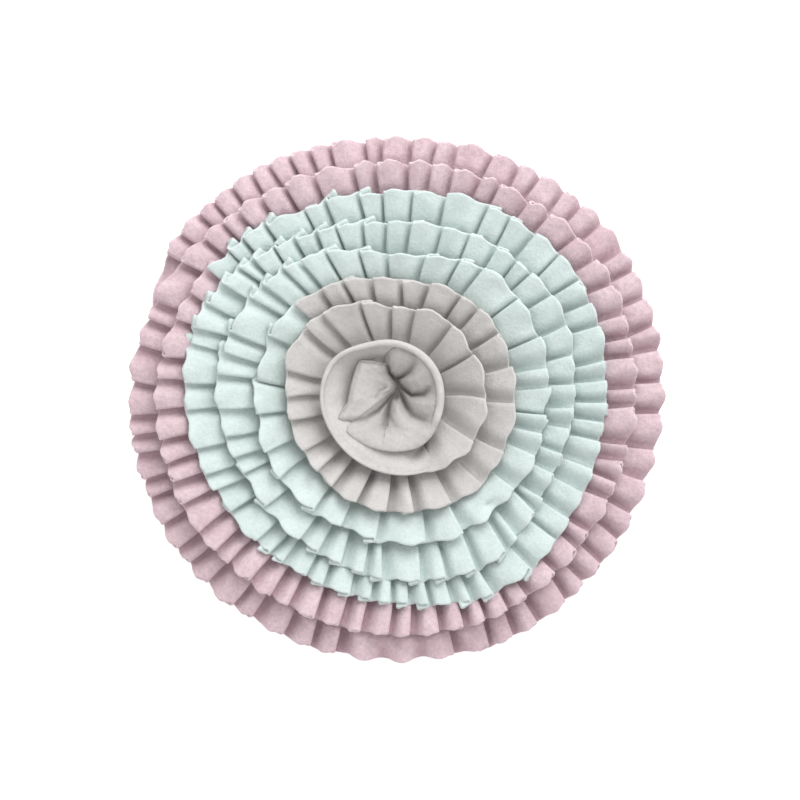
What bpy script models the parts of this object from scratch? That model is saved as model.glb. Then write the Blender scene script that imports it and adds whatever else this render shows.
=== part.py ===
"""A round snuffle mat: knife-pleated fleece strips sewn in an inward spiral onto a round backing cloth.

The tables are in millimetres and degrees, the meshes in metres. A clock angle runs clockwise from the
mat's top (+Y), seen from above. A spiral angle is the same angle counted on along the strip, so each turn
adds 360. The origin is the middle of the backing's underside, +Z is up.
"""

import functools
import math
import random

import bmesh
import bpy

MM = 0.001
SEED = 11

# Backing cloth
BACKING_RADIUS = 194.0
BACKING_THICK = 3.0
BACKING_SIDES = 72
CLEAR = 0.8

# Fleece: pressed thin at the seam, full at the free edge
FLEECE_SEWN = 1.4
FLEECE_FREE = 2.0
LAYER_SEWN = 2.0
LAYER_FREE = 2.7

# Knife pleats: how far the cloth runs back under the next fold, and the most of a pleat that it may fill
TUCK_FREE = 9.5
TUCK_SEWN = 12.0
TUCK_SHARE = 0.56
END_TUCK = 3.5
ACROSS = (0.0, 1.0)
LEAST_PLEAT = 13.0
PLEAT_JITTER = 0.2
FOLD_LAYERS = 2.0
END_LAYERS = 1.0
LEAN_WAVE = 3.0
LEAN_WAVES = 2.7
LEAN_SCATTER = 4.5
FACE_SPAN = 7.5
NARROW_FACE = 5.5
MOST_SAG = 0.21
FACE_BELLY = 0.9
FOLD_OUT = 0.7
TUCK_IN = 1.0
EDGE_SCATTER = 0.6

# Room that one sewn row takes under the next, at its seam and at its free edge
STACK_SEWN = 9.1
STACK_FREE = 11.5
NOMINAL_REACH = 42.0

# The part of the turn outside that a row covers, with a margin past its free edge, and the places tried on it
EDGE_MARGIN = 3.0
OVERLAP_STEPS = 5

# The spiral steps inward between these clock angles on every turn, and runs nearly round elsewhere
STEP_FROM = 285.0
STEP_TO = 350.0
RISE_FROM = 262.0
RISE_TO = 335.0
SPIRAL_START = 290.0
CLIMB = 40.0

# The strip's first end comes out from under the next turn: degrees that this takes, and how far in it starts
START_TAPER = 14.0
START_DRAWN_IN = 11.0

# Free edge: radius at each clock angle (rows) on each turn (columns)
EDGE_COLUMNS = ("pink_1", "pink_2", "mint_1", "mint_2", "mint_3", "grey_1", "grey_2", "roll")
EDGE_RADIUS = {
    300: (233, 217, 195, 177, 150, 119, 99, 64),
    330: (229, 205, 180, 158, 139, 111, 91, 54),
    0: (222, 200, 175, 149, 121, 100, 77, 49),
    30: (227, 202, 181, 153, 131, 102, 78, 45),
    60: (230, 206, 183, 156, 132, 102, 74, 42),
    90: (226, 201, 177, 149, 127, 99, 74, 40),
    120: (224, 198, 176, 148, 125, 101, 73, 41),
    150: (225, 201, 184, 158, 126, 100, 68, 45),
    180: (223, 200, 173, 152, 122, 95, 65, 45),
    210: (225, 198, 169, 145, 116, 93, 63, 47),
    240: (227, 202, 172, 143, 121, 90, 63, 52),
    270: (227, 203, 178, 151, 119, 93, 65, 60),
}
SECTOR = 30.0
FIRST_SECTOR = 300.0

# Each turn's seam radius, and the height by which its free edge rises, lying on the turn outside it
TURNS = (
    # name, seam radius, rise
    ("lead_in", 192.0, -0.3),
    ("pink_1", 183.0, -0.3),
    ("pink_2", 160.0, 14.0),
    ("mint_1", 136.0, 16.5),
    ("mint_2", 110.5, 17.5),
    ("mint_3", 85.0, 19.0),
    ("grey_1", 60.0, 21.0),
    ("grey_2", 40.0, 26.0),
    ("roll", 33.0, 30.0),
)

# Pleats in each 30 degree sector (rows) of the closely pleated turns (columns)
PLEAT_COLUMNS = ("pink_1", "pink_2", "mint_1", "mint_2", "mint_3")
PLEATS = {
    300: (6, 5, 6, 5, 4),
    330: (7, 4, 4, 4, 3),
    0: (5, 5, 3, 3, 3),
    30: (5, 4, 4, 4, 3),
    60: (5, 5, 4, 3, 3),
    90: (4, 5, 6, 4, 3),
    120: (5, 4, 3, 4, 1),
    150: (5, 5, 5, 3, 3),
    180: (4, 5, 5, 4, 2),
    210: (5, 5, 4, 3, 2),
    240: (6, 5, 5, 4, 2),
    270: (4, 4, 4, 2, 3),
}

# Faces that lie wide and smooth between two folds
WIDE_FACES = (
    # turn, clock angle of its raised fold, clock angle of the next fold
    ("pink_1", 167.6, 194.0),
    ("mint_1", 5.0, 14.0),
    ("mint_1", 14.0, 26.0),
    ("mint_1", 132.0, 142.0),
    ("mint_1", 225.0, 236.0),
    ("mint_2", 357.0, 372.0),
    ("mint_2", 173.0, 185.0),
    ("mint_2", 215.0, 231.0),
    ("mint_2", 267.0, 278.0),
    ("mint_3", 39.0, 51.0),
    ("mint_3", 67.0, 79.0),
    ("mint_3", 113.0, 128.0),
    ("mint_3", 128.0, 154.0),
    ("mint_3", 154.0, 169.0),
    ("mint_3", 189.0, 204.0),
    ("mint_3", 204.0, 217.0),
    ("mint_3", 217.0, 236.0),
    ("mint_3", 248.0, 264.0),
)
WIDE_MARGIN = 2.4

# The grey turns have few folds, so each is placed by its clock angle
GREY_FOLDS = {
    "grey_1": (
        326, 336, 349, 363, 377, 393, 403, 418, 435, 453, 477,
        495, 513, 532, 546, 562, 577, 588, 601, 619, 631, 645,
    ),
    "grey_2": (319, 340, 358, 373, 398, 421, 451, 480),
}

# Strips as cut and joined: name and the spiral angle at which each begins
STRIPS = (
    ("pink_strip_1", 290.0),
    ("pink_strip_2", 461.5),
    ("pink_strip_3", 652.0),
    ("pink_strip_4", 821.5),
    ("mint_strip_1", 1024.5),
    ("mint_strip_2", 1190.0),
    ("mint_strip_3", 1365.0),
    ("mint_strip_4", 1540.0),
    ("mint_strip_5", 1725.0),
    ("mint_strip_6", 1886.0),
    ("mint_strip_7", 2077.5),
    ("grey_strip_1", 2112.0),
    ("grey_strip_2", 2295.0),
    ("grey_strip_3", 2468.0),
)
CUTS = {begin for _, begin in STRIPS}
PLEATS_END = 2670.0
CUT_MARGIN = 1.9

# Roll: the strip's smooth end, wound once more as an upright band with a thick turned rim
ROLL_END = 3040.0
ROLL_STEP = 8.0
ROLL_THICK = 2.4
ROLL_STATIONS = (
    # spiral angle, seam radius, rim height, half thickness of the rim, belly
    (2670.0, 40.0, 29.0, 1.3, 1.5),
    (2700.0, 38.5, 33.0, 1.4, 5.0),
    (2745.0, 36.5, 36.0, 1.6, 8.0),
    (2790.0, 34.5, 38.5, 1.9, 3.0),
    (2820.0, 33.0, 41.0, 2.6, 1.0),
    (2880.0, 31.5, 43.0, 3.4, 1.5),
    (2960.0, 31.0, 43.0, 3.4, 3.0),
    (3010.0, 31.0, 41.0, 3.2, 3.0),
    (3040.0, 31.0, 36.0, 1.8, 2.0),
)
ROLL_GAP = 1.0
BELLY_LIFT = 0.9
ROLL_SHARES = (0.0, 0.2, 0.4, 0.6, 0.8, 1.0)
RIM_TURNS = (-30, 15, 60, 105, 150, 195)
ROLL_ZERO = 2880.0

# Heart: the gathered end of the strip, filling the roll
HEART_SIDES = 84
HEART_RINGS = 18
HEART_GAP = 1.2
HEART_MIDDLE = (0.0, 9.0)
HEART_WALL = (0.0, 0.4, 0.8)
HEART_WRAP_TO = 262.0
HEART_WRAP_EASE = 26.0
HEART_LEVELS = (
    # clock angle, height at which the gathered cloth meets the roll, how far it swells up from there
    (0.0, 28.0, 5.5),
    (45.0, 29.0, 5.5),
    (90.0, 30.5, 5.0),
    (125.0, 33.0, 3.6),
    (150.0, 33.5, 3.2),
    (250.0, 33.0, 3.2),
    (290.0, 30.5, 3.0),
    (330.0, 28.0, 4.0),
    (360.0, 28.0, 5.5),
)
HEART_SHOULDER = 5.0
HEART_BOWL = 10.0
HEART_BOWL_POWER = 1.6
HEART_LEAST = 9.0
HEART_CROWDING = 0.85
EDGE_TRIES = 14
LEAST_EDGE = 25.0
CREASES = (
    # name, depth, fading outward, width on its left and right, then points from its deep end outward
    ("up", 13.0, 0.2, 4.0, 3.6, ((-0.5, 15), (-6.5, 22), (-8.3, 30), (-8.0, 44))),
    ("top_lobe", 12.0, 0.4, 6.0, 3.4, ((0.5, 17), (4.7, 18.4), (11.2, 23), (15.1, 29.5), (15.8, 36))),
    ("right", 11.0, 0.5, 5.0, 3.4, ((0.5, 13), (4.7, 8.6), (12.5, 2.6), (22.9, 3.4), (26.5, 6.4))),
    ("down_right", 12.0, 0.6, 6.0, 3.4, ((0.0, 7), (3.4, 2.1), (8.0, -8.0), (13.0, -14.5), (22.0, -18.5))),
    ("down", 12.0, 0.45, 3.6, 4.6, ((-0.5, 4), (-5.6, -1.5), (-7.6, -12.0), (-9.4, -23.0))),
    ("down_left", 9.0, 0.7, 3.4, 4.4, ((-4.0, 2.0), (-16.1, -10.9), (-26.5, -17.4), (-42.5, -20.4))),
    ("hole", 13.0, 0.0, 4.5, 4.5, ((0.2, 15.5), (1.4, 9.0), (-0.6, 1.0))),
)
CREASE_JOIN = 2.5
FLAP_EDGE = (
    # points, and how far the cloth drops beyond the flap there
    ((-8.5, 28.0), 9.0),
    ((-20.5, 30.5), 10.0),
    ((-30.5, 31.5), 12.0),
    ((-33.5, 27.0), 14.0),
    ((-38.3, 9.9), 15.0),
    ((-40.9, -4.4), 13.0),
    ((-47.6, -13.5), 6.0),
    ((-49.5, -19.0), 0.0),
)
FLAP_LIP = 4.0
FLAP_SLOPE = 0.2
POCKET_SIDE = 4.0
POCKET_CREASES = 0.6

CLOTHS = {
    # object name up to its first underscore: material name and linear colour
    "backing": ("backing_cloth", (0.72, 0.71, 0.70)),
    "pink": ("pink_fleece", (0.75, 0.50, 0.58)),
    "mint": ("mint_fleece", (0.66, 0.78, 0.75)),
    "grey": ("grey_fleece", (0.60, 0.57, 0.55)),
}
FLEECE_ROUGHNESS = 0.95


def clear_scene():
    for old in list(bpy.data.objects):
        bpy.data.objects.remove(old, do_unlink=True)


def smooth(value):
    value = min(1.0, max(0.0, value))
    return value * value * (3.0 - 2.0 * value)


def mix(low, high, share):
    return low + (high - low) * share


def metres(x, y, z):
    return (x * MM, y * MM, z * MM)


def place(radius, angle, height):
    turned = math.radians(angle)
    return metres(radius * math.sin(turned), radius * math.cos(turned), height)


def turn_start(name):
    """Spiral angle at which a turn's clock angle is 0."""
    return 360.0 * (EDGE_COLUMNS.index(name) + 1)


def edge_knots():
    knots = []
    for column in range(len(EDGE_COLUMNS)):
        knots.extend(row[column] for row in EDGE_RADIUS.values())
    return knots


EDGE_KNOTS = edge_knots()


def edge_radius(angle):
    """Free edge's radius: a smooth curve through the table's knots, drawn in at the strip's first end."""
    position = (angle - FIRST_SECTOR) / SECTOR
    first = math.floor(position)
    share = position - first
    last = len(EDGE_KNOTS) - 1
    before, low, high, after = (EDGE_KNOTS[min(last, max(0, first + step))] for step in (-1, 0, 1, 2))
    cubic = 3 * (low - high) + after - before
    square = 2 * before - 5 * low + 4 * high - after
    drawn_in = START_DRAWN_IN * (1.0 - smooth((angle - SPIRAL_START) / START_TAPER))
    return low + 0.5 * share * (high - before + share * (square + share * cubic)) - drawn_in


def turn_value(column, angle, begin, end):
    """One turn's value, passing to the next turn's between two clock angles."""
    turn = max(0, math.floor((angle - begin) / 360.0))
    share = smooth((angle - begin - 360.0 * turn) / (end - begin))
    later = min(turn + 1, len(TURNS) - 1)
    return mix(TURNS[turn][column], TURNS[later][column], share)


def seam_radius(angle):
    return turn_value(1, angle, STEP_FROM, STEP_TO)


def row_slope(angle):
    rise = turn_value(2, angle, RISE_FROM, RISE_TO)
    return rise / (edge_radius(angle) - seam_radius(angle))


def row_height(angle, out):
    """Height of a row's lowest layer at a distance out from its seam."""
    return seam_height(angle) + row_slope(angle) * out


@functools.lru_cache(maxsize=None)
def seam_height(angle):
    """The seam lies on the backing, or is lifted where the turn outside it lies close underneath."""
    flat = BACKING_THICK + CLEAR + FLEECE_SEWN / 2.0
    again = SPIRAL_START + 360.0
    if angle < again - CLIMB:
        return flat
    if angle < again:
        return mix(flat, seam_height(again), smooth((angle - again + CLIMB) / CLIMB))
    outer = angle - 360.0
    pitch = seam_radius(outer) - seam_radius(angle)
    slope = row_slope(angle)
    covered = edge_radius(angle) + EDGE_MARGIN - seam_radius(outer)
    lift = 0.0
    for step in range(OVERLAP_STEPS + 1):
        out = covered * step / OVERLAP_STEPS
        top = row_height(outer, out) + mix(STACK_SEWN, STACK_FREE, out / NOMINAL_REACH)
        lift = max(lift, top - flat - slope * (out + pitch))
    return flat + lift


def clear_of(folds, low, high):
    return [fold for fold in folds if not low < fold < high]


def pleat_folds():
    """Spiral angles of every raised fold."""
    rng = random.Random(SEED)
    folds = []
    for turn in range(len(PLEAT_COLUMNS)):
        for sector, counts in enumerate(PLEATS.values()):
            begin = FIRST_SECTOR + 360.0 * turn + SECTOR * sector
            for step in range(counts[turn]):
                part = step + 0.5 + rng.uniform(-PLEAT_JITTER, PLEAT_JITTER)
                folds.append(begin + SECTOR * part / counts[turn])
    grey_begin = STRIPS[-3][1]
    folds = [fold for fold in folds if fold < grey_begin - CUT_MARGIN]
    for name, begin, end in WIDE_FACES:
        low, high = turn_start(name) + begin, turn_start(name) + end
        folds = clear_of(folds, low - WIDE_MARGIN, high + WIDE_MARGIN) + [low, high]
    for name, angles in GREY_FOLDS.items():
        folds.extend(turn_start(name) - 360.0 + angle for angle in angles)
    for cut in CUTS:
        folds = clear_of(folds, cut - CUT_MARGIN, cut + CUT_MARGIN) + [cut]
    folds = sorted(set(folds)) + [PLEATS_END]
    kept = [folds[0]]
    for fold in folds[1:]:
        wide_enough = math.radians(fold - kept[-1]) * edge_radius(fold) >= LEAST_PLEAT
        if wide_enough:
            kept.append(fold)
        elif fold in CUTS or fold == PLEATS_END:
            kept[-1] = fold
    return kept


def leans(folds):
    """Degrees by which each fold's sewn end is turned on from its free end."""
    rng = random.Random(SEED + 1)
    out = []
    for fold in folds:
        wave = LEAN_WAVE * math.sin(math.radians(fold * LEAN_WAVES))
        lean = wave + rng.uniform(-LEAN_SCATTER, LEAN_SCATTER)
        reach = edge_radius(fold) - seam_radius(fold)
        out.append(math.degrees(reach * math.tan(math.radians(lean)) / edge_radius(fold)))
    return out


def row_folds(folds, leaning, share):
    """One line across the strip: each fold's angle, tuck in degrees, tail height and top height.

    A fold stands on its own two hidden layers. A strip's cut end lies straight on the tail of the strip
    before it.
    """
    layer = mix(LAYER_SEWN, LAYER_FREE, share)
    angles = [fold + lean * (1.0 - share) for fold, lean in zip(folds, leaning)]
    radii = [mix(seam_radius(fold), edge_radius(fold), share) for fold in folds]
    widths = [math.radians(b - a) * r for a, b, r in zip(angles, angles[1:], radii[1:])]
    widths.append(widths[-1])
    longest = mix(TUCK_SEWN, TUCK_FREE, share)
    tucks = [min(longest, TUCK_SHARE * width) for width in widths]
    tails = [layer]
    tops = [END_LAYERS * layer]
    for i in range(1, len(folds)):
        width, tuck = widths[i - 1], tucks[i]
        tails.append(tops[-1] * tuck / (width + tuck))
        following = tucks[i + 1] if i + 1 < len(folds) else tuck
        over = widths[i] + following
        stacked = layer * (END_LAYERS if folds[i] in CUTS else FOLD_LAYERS)
        tops.append(max(tails[-1] + stacked, stacked * over / (over - tuck)))
    turned = [math.degrees(tuck / radius) for tuck, radius in zip(tucks, radii)]
    return angles, turned, tails, tops


def face_pieces(begin, end):
    """A narrow face is straight from fold to tail, if its chord stays close to the row's cone."""
    span = end - begin
    seam = seam_radius(end)
    reached = math.radians(span) + TUCK_SEWN / seam
    sag = seam * (1.0 - math.cos(0.5 * reached)) * row_slope(end)
    if span < NARROW_FACE and sag < MOST_SAG:
        return 0
    return math.ceil(span / FACE_SPAN)


def face_points(begin, end, top, tail, pieces):
    """Points on a face from its raised fold to where it runs under the next, with a soft belly between."""
    points = []
    for step in range(1, pieces + 1):
        part = step / pieces
        belly = FACE_BELLY * math.sin(math.pi * part)
        points.append((mix(begin, end, part), mix(top, tail, part) + belly, mix(FOLD_OUT, -TUCK_IN, part)))
    return points


def strip_path(folds, rows, first, last, share):
    """Middle of the cloth along one line across the strip, as spiral angle, height and edge shift."""
    angles, turned, tails, tops = rows
    layer = mix(LAYER_SEWN, LAYER_FREE, share)
    path = [(angles[first], tops[first], FOLD_OUT)]
    for fold in range(first + 1, last + 1):
        inner = angles[fold] + turned[fold]
        visible_end = angles[fold]
        if folds[fold] == PLEATS_END:
            visible_end -= math.degrees(END_TUCK / edge_radius(folds[last]))
            inner = angles[fold]
        pieces = face_pieces(folds[fold - 1], folds[fold])
        path.extend(face_points(angles[fold - 1], visible_end, tops[fold - 1], tails[fold], pieces))
        path.append((inner, 0.0, -TUCK_IN))
        if fold < last:
            path.append((inner, layer, -TUCK_IN))
            path.append((angles[fold], tails[fold] + layer, FOLD_OUT))
            path.append((angles[fold], tops[fold], FOLD_OUT))
    return path


def offset_line(points, distance):
    """Moves a line of (along, height) points sideways by a distance, keeping its corners square."""
    moved = []
    for i, (x, y) in enumerate(points):
        normals = []
        for a, b in ((i - 1, i), (i, i + 1)):
            if a < 0 or b >= len(points):
                continue
            dx, dy = points[b][0] - points[a][0], points[b][1] - points[a][1]
            length = math.hypot(dx, dy)
            normals.append((-dy / length, dx / length))
        nx = sum(n[0] for n in normals) / len(normals)
        ny = sum(n[1] for n in normals) / len(normals)
        square = nx * nx + ny * ny
        moved.append((x + distance * nx / square, y + distance * ny / square))
    return moved


def make_object(name, vertices, faces):
    mesh = bpy.data.meshes.new(name)
    mesh.from_pydata(vertices, [], faces)
    solid = bmesh.new()
    solid.from_mesh(mesh)
    bmesh.ops.recalc_face_normals(solid, faces=solid.faces)
    solid.to_mesh(mesh)
    solid.free()
    mesh.materials.append(material(name.split("_")[0]))
    piece = bpy.data.objects.new(name, mesh)
    bpy.context.scene.collection.objects.link(piece)
    return piece


@functools.lru_cache(maxsize=None)
def material(cloth):
    name, colour = CLOTHS[cloth]
    made = bpy.data.materials.new(name)
    made.use_nodes = True
    shader = made.node_tree.nodes["Principled BSDF"]
    shader.inputs["Base Color"].default_value = (*colour, 1.0)
    shader.inputs["Roughness"].default_value = FLEECE_ROUGHNESS
    shader.inputs["Metallic"].default_value = 0.0
    return made


def strip_faces(length, across):
    """Faces of a sheet whose two sides are grids of length by across points, the upper one first."""
    side = length * across
    faces = []
    for i in range(length - 1):
        for j in range(across - 1):
            a, b = i * across + j, (i + 1) * across + j
            faces.append((a, b, b + 1, a + 1))
            faces.append((side + a, side + a + 1, side + b + 1, side + b))
        for j, flip in ((0, False), (across - 1, True)):
            a, b = i * across + j, (i + 1) * across + j
            quad = (a, side + a, side + b, b)
            faces.append(quad[::-1] if flip else quad)
    for j in range(across - 1):
        a, b = j, (length - 1) * across + j
        faces.append((a, a + 1, side + a + 1, side + a))
        faces.append((b, side + b, side + b + 1, b + 1))
    return faces


def make_strip(name, folds, leaning, rows_at, first, last):
    rng = random.Random(name)
    middle = edge_radius(0.5 * (folds[first] + folds[last]))
    sides = {1: [], -1: []}
    for share in ACROSS:
        path = strip_path(folds, rows_at[share], first, last, share)
        scatter = [rng.uniform(-EDGE_SCATTER, EDGE_SCATTER) for _ in path]
        scale = math.radians(1.0) * mix(middle - NOMINAL_REACH, middle, share)
        flat = [(angle * scale, height) for angle, height, _ in path]
        half = mix(FLEECE_SEWN, FLEECE_FREE, share) / 2.0
        for side in sides:
            line = []
            for (along, height), (_, _, shift), loose in zip(offset_line(flat, side * half), path, scatter):
                angle = along / scale
                seam = seam_radius(angle)
                out = (edge_radius(angle) + shift + loose - seam) * share
                line.append(place(seam + out, angle, row_height(round(angle, 3), out) + height))
            sides[side].append(line)
    vertices = [line[i] for side in (1, -1) for i in range(len(sides[1][0])) for line in sides[side]]
    faces = strip_faces(len(sides[1][0]), len(ACROSS))
    return make_object(name, vertices, faces)


def make_strips():
    folds = pleat_folds()
    leaning = leans(folds)
    rows_at = {share: row_folds(folds, leaning, share) for share in ACROSS}
    cuts = [folds.index(cut) for _, cut in STRIPS] + [len(folds) - 1]
    for (name, _), first, last in zip(STRIPS, cuts, cuts[1:]):
        make_strip(name, folds, leaning, rows_at, first, last)


def make_backing():
    ring = [360.0 * i / BACKING_SIDES for i in range(BACKING_SIDES)]
    vertices = [place(BACKING_RADIUS, angle, height) for height in (0.0, BACKING_THICK) for angle in ring]
    low = list(range(BACKING_SIDES))
    high = [BACKING_SIDES + i for i in low]
    faces = [tuple(low), tuple(high)]
    for i in low:
        j = (i + 1) % BACKING_SIDES
        faces.append((i, j, BACKING_SIDES + j, BACKING_SIDES + i))
    return make_object("backing", vertices, faces)


def station(angle):
    """Roll's seam radius, rim height, rim half thickness and belly at a spiral angle."""
    for low, high in zip(ROLL_STATIONS, ROLL_STATIONS[1:]):
        if angle <= high[0]:
            share = smooth((angle - low[0]) / (high[0] - low[0]))
            return tuple(mix(a, b, share) for a, b in zip(low[1:], high[1:]))
    return ROLL_STATIONS[-1][1:]


def roll_line(angle):
    """Middle of the roll's cloth from its seam to the underside of its rim, as radius and height."""
    seam, top, rim, belly = station(angle)
    low = BACKING_THICK + CLEAR + FLEECE_SEWN / 2.0
    edge = edge_radius(angle) - rim
    line = []
    for share in ROLL_SHARES:
        out = belly * math.sin(math.pi * share)
        line.append((mix(seam, edge, share) - out, mix(low, top - 2.0 * rim, share) + BELLY_LIFT * out))
    return line, rim


def roll_section(angle):
    line, rim = roll_line(angle)
    half = ROLL_THICK / 2.0
    outside = offset_line(line, -half)
    inside = offset_line(line, half)
    edge, height = line[-1]
    bead = []
    for degrees in RIM_TURNS:
        turn = math.radians(degrees)
        bead.append((edge + rim * math.cos(turn), height + rim * (1.0 + math.sin(turn))))
    return outside[:-1] + bead + inside[-2::-1]


def make_roll():
    begin = PLEATS_END + ROLL_GAP
    count = round((ROLL_END - begin) / ROLL_STEP)
    angles = [mix(begin, ROLL_END, i / count) for i in range(count + 1)]
    sections = [roll_section(angle) for angle in angles]
    around = len(sections[0])
    vertices = [place(r, angle, z) for angle, section in zip(angles, sections) for r, z in section]
    faces = [tuple(range(around)), tuple(count * around + i for i in range(around))]
    for i in range(count):
        for j in range(around):
            a, b = i * around + j, i * around + (j + 1) % around
            faces.append((a, b, b + around, a + around))
    return make_object("grey_roll", vertices, faces)


def inside_roll(clock, height):
    """Radius of the roll's inner face at a clock angle and height, from its innermost turn there."""
    radii = []
    for angle in (clock + ROLL_ZERO - 360.0, clock + ROLL_ZERO):
        if not PLEATS_END <= angle <= ROLL_END:
            continue
        inner_face = roll_section(angle)[: -len(ROLL_SHARES) - 1 : -1]
        for (r0, z0), (r1, z1) in zip(inner_face, inner_face[1:]):
            if height <= z1 or (r1, z1) == inner_face[-1]:
                share = min(1.0, max(0.0, (height - z0) / (z1 - z0)))
                radii.append(mix(r0, r1, share))
                break
    inside = min(radii) - HEART_GAP
    wrap_end = ROLL_END - ROLL_ZERO
    if wrap_end < clock < HEART_WRAP_TO:
        outer = min(inside, edge_radius(clock + ROLL_ZERO))
        share = smooth((clock - wrap_end) / HEART_WRAP_EASE)
        return mix(inside_roll(wrap_end, height), outer, share)
    return inside


def heart_level(clock):
    """Height at which the gathered cloth meets the roll, and how far it swells up from there."""
    for low, high in zip(HEART_LEVELS, HEART_LEVELS[1:]):
        if clock <= high[0]:
            share = (clock - low[0]) / (high[0] - low[0])
            return mix(low[1], high[1], share), mix(low[2], high[2], share)
    return HEART_LEVELS[-1][1:]


def from_line(x, y, points):
    """Distance from a point to a line, the share along it, and whether the point is on its left."""
    best = (1e9, 0.0, True)
    for i, ((ax, ay), (bx, by)) in enumerate(zip(points, points[1:])):
        dx, dy = bx - ax, by - ay
        share = min(1.0, max(0.0, ((x - ax) * dx + (y - ay) * dy) / (dx * dx + dy * dy)))
        gap = math.hypot(x - ax - dx * share, y - ay - dy * share)
        if gap < best[0]:
            on_left = dx * (y - ay) - dy * (x - ax) >= 0.0
            best = (gap, (i + share) / (len(points) - 1), on_left)
    return best


def flap_drop(along):
    """Depth beyond the flap at a share of its edge line."""
    position = along * (len(FLAP_EDGE) - 1)
    first = min(int(position), len(FLAP_EDGE) - 2)
    return mix(FLAP_EDGE[first][1], FLAP_EDGE[first + 1][1], position - first)


def heart_height(x, y, level, swell, share):
    """Top of the gathered cloth; share is 0 in the middle and 1 at the roll."""
    flap_gap, flap_along, inside_flap = from_line(x, y, [point for point, _ in FLAP_EDGE])
    up_gap, _, left_of_up = from_line(x, y, CREASES[0][-1])
    fallen = 0.0
    if left_of_up and not inside_flap:
        fallen = smooth(up_gap / POCKET_SIDE) * smooth(flap_gap / FLAP_LIP)
    inward = 1.0 - share
    bent = 1.0 - min(1.0, HEART_SHOULDER * inward)
    height = level + swell * math.sqrt(1.0 - bent * bent) * (1.0 - fallen)
    height -= HEART_BOWL * inward**HEART_BOWL_POWER
    creased = 0.0
    for _, depth, fading, left, right, points in CREASES:
        gap, along, on_left = from_line(x, y, points)
        half = left if on_left else right
        creased += (depth * (1.0 - fading * along) * math.exp(-((gap / half) ** 2))) ** CREASE_JOIN
    height -= creased ** (1.0 / CREASE_JOIN) * (1.0 - POCKET_CREASES * fallen)
    height -= fallen * (flap_drop(flap_along) + FLAP_SLOPE * flap_gap)
    return max(height, HEART_LEAST)


def heart_edge(clock):
    """Where the gathered cloth meets the roll: the roll's inner face narrows as it goes down."""
    level, swell = heart_level(clock)
    east, north = math.sin(math.radians(clock)), math.cos(math.radians(clock))
    near, far = LEAST_EDGE, inside_roll(clock, level)
    for _ in range(EDGE_TRIES):
        radius = 0.5 * (near + far)
        height = heart_height(radius * east, radius * north, level, swell, 1.0)
        if inside_roll(clock, height) > radius:
            near = radius
        else:
            far = radius
    return near * east, near * north


def heart_point(clock, share):
    ex, ey = heart_edge(clock)
    x, y = mix(HEART_MIDDLE[0], ex, share), mix(HEART_MIDDLE[1], ey, share)
    return x, y, heart_height(x, y, *heart_level(clock), share)


def make_heart():
    floor = BACKING_THICK + CLEAR
    ring = [360.0 * i / HEART_SIDES for i in range(HEART_SIDES)]
    vertices = [place(0.0, 0.0, floor)]
    for share in HEART_WALL:
        for clock in ring:
            height = mix(floor, heart_point(clock, 1.0)[2], share)
            vertices.append(place(inside_roll(clock, height) - HEART_GAP, clock, height))
    for step in range(HEART_RINGS):
        share = (1.0 - step / HEART_RINGS) ** HEART_CROWDING
        vertices.extend(metres(*heart_point(clock, share)) for clock in ring)
    vertices.append(metres(*heart_point(0.0, 0.0)))
    faces = []
    rings = HEART_RINGS + len(HEART_WALL)
    for i in range(HEART_SIDES):
        j = (i + 1) % HEART_SIDES
        faces.append((0, 1 + j, 1 + i))
        for step in range(rings - 1):
            a, b = 1 + step * HEART_SIDES, 1 + (step + 1) * HEART_SIDES
            faces.append((a + i, a + j, b + j, b + i))
        last = 1 + (rings - 1) * HEART_SIDES
        faces.append((last + i, last + j, len(vertices) - 1))
    return make_object("grey_heart", vertices, faces)


clear_scene()
make_backing()
make_strips()
make_roll()
make_heart()
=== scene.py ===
"""Looks of a round snuffle mat: pleated fleece strips sewn in an inward spiral around a gathered middle.

Tables are in millimetres and degrees, meshes in metres. A clock angle runs clockwise from the mat's top
(+Y), seen from above. A spiral angle is the same angle counted on along the strip: a turn adds 360.
"""

import functools
import math
import random

import bmesh
import bpy
import numpy as np
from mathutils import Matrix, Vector, noise


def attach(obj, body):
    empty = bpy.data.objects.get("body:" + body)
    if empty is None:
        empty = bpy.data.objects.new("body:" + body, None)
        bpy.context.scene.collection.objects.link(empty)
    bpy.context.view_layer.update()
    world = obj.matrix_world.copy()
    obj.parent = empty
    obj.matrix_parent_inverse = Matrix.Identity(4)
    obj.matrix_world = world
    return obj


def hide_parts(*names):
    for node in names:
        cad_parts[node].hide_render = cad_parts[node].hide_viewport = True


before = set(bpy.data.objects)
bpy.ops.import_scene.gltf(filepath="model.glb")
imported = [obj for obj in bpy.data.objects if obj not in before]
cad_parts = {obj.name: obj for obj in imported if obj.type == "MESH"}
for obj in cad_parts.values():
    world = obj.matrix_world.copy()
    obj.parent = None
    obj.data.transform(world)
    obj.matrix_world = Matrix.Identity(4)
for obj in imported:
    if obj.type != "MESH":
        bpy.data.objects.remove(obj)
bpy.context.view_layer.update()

MM = 0.001
SEED = 11

# ---- the mat's plan, as in the solids

BACKING_RADIUS = 194.0
BACKING_THICK = 3.0
CLEAR = 0.8
FLEECE_SEWN = 1.4
FLEECE_FREE = 2.2
LAYER_SEWN = 2.0
LAYER_FREE = 2.7
SEAM_FLAT = BACKING_THICK + CLEAR + FLEECE_SEWN / 2.0

TUCK_FREE = 9.5
TUCK_SEWN = 12.0
TUCK_SHARE = 0.56
LEAST_PLEAT = 13.0
PLEAT_JITTER = 0.2
FOLD_LAYERS = 2.0
END_LAYERS = 1.0
LEAN_WAVE = 3.0
LEAN_WAVES = 2.7
LEAN_SCATTER = 4.5

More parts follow.
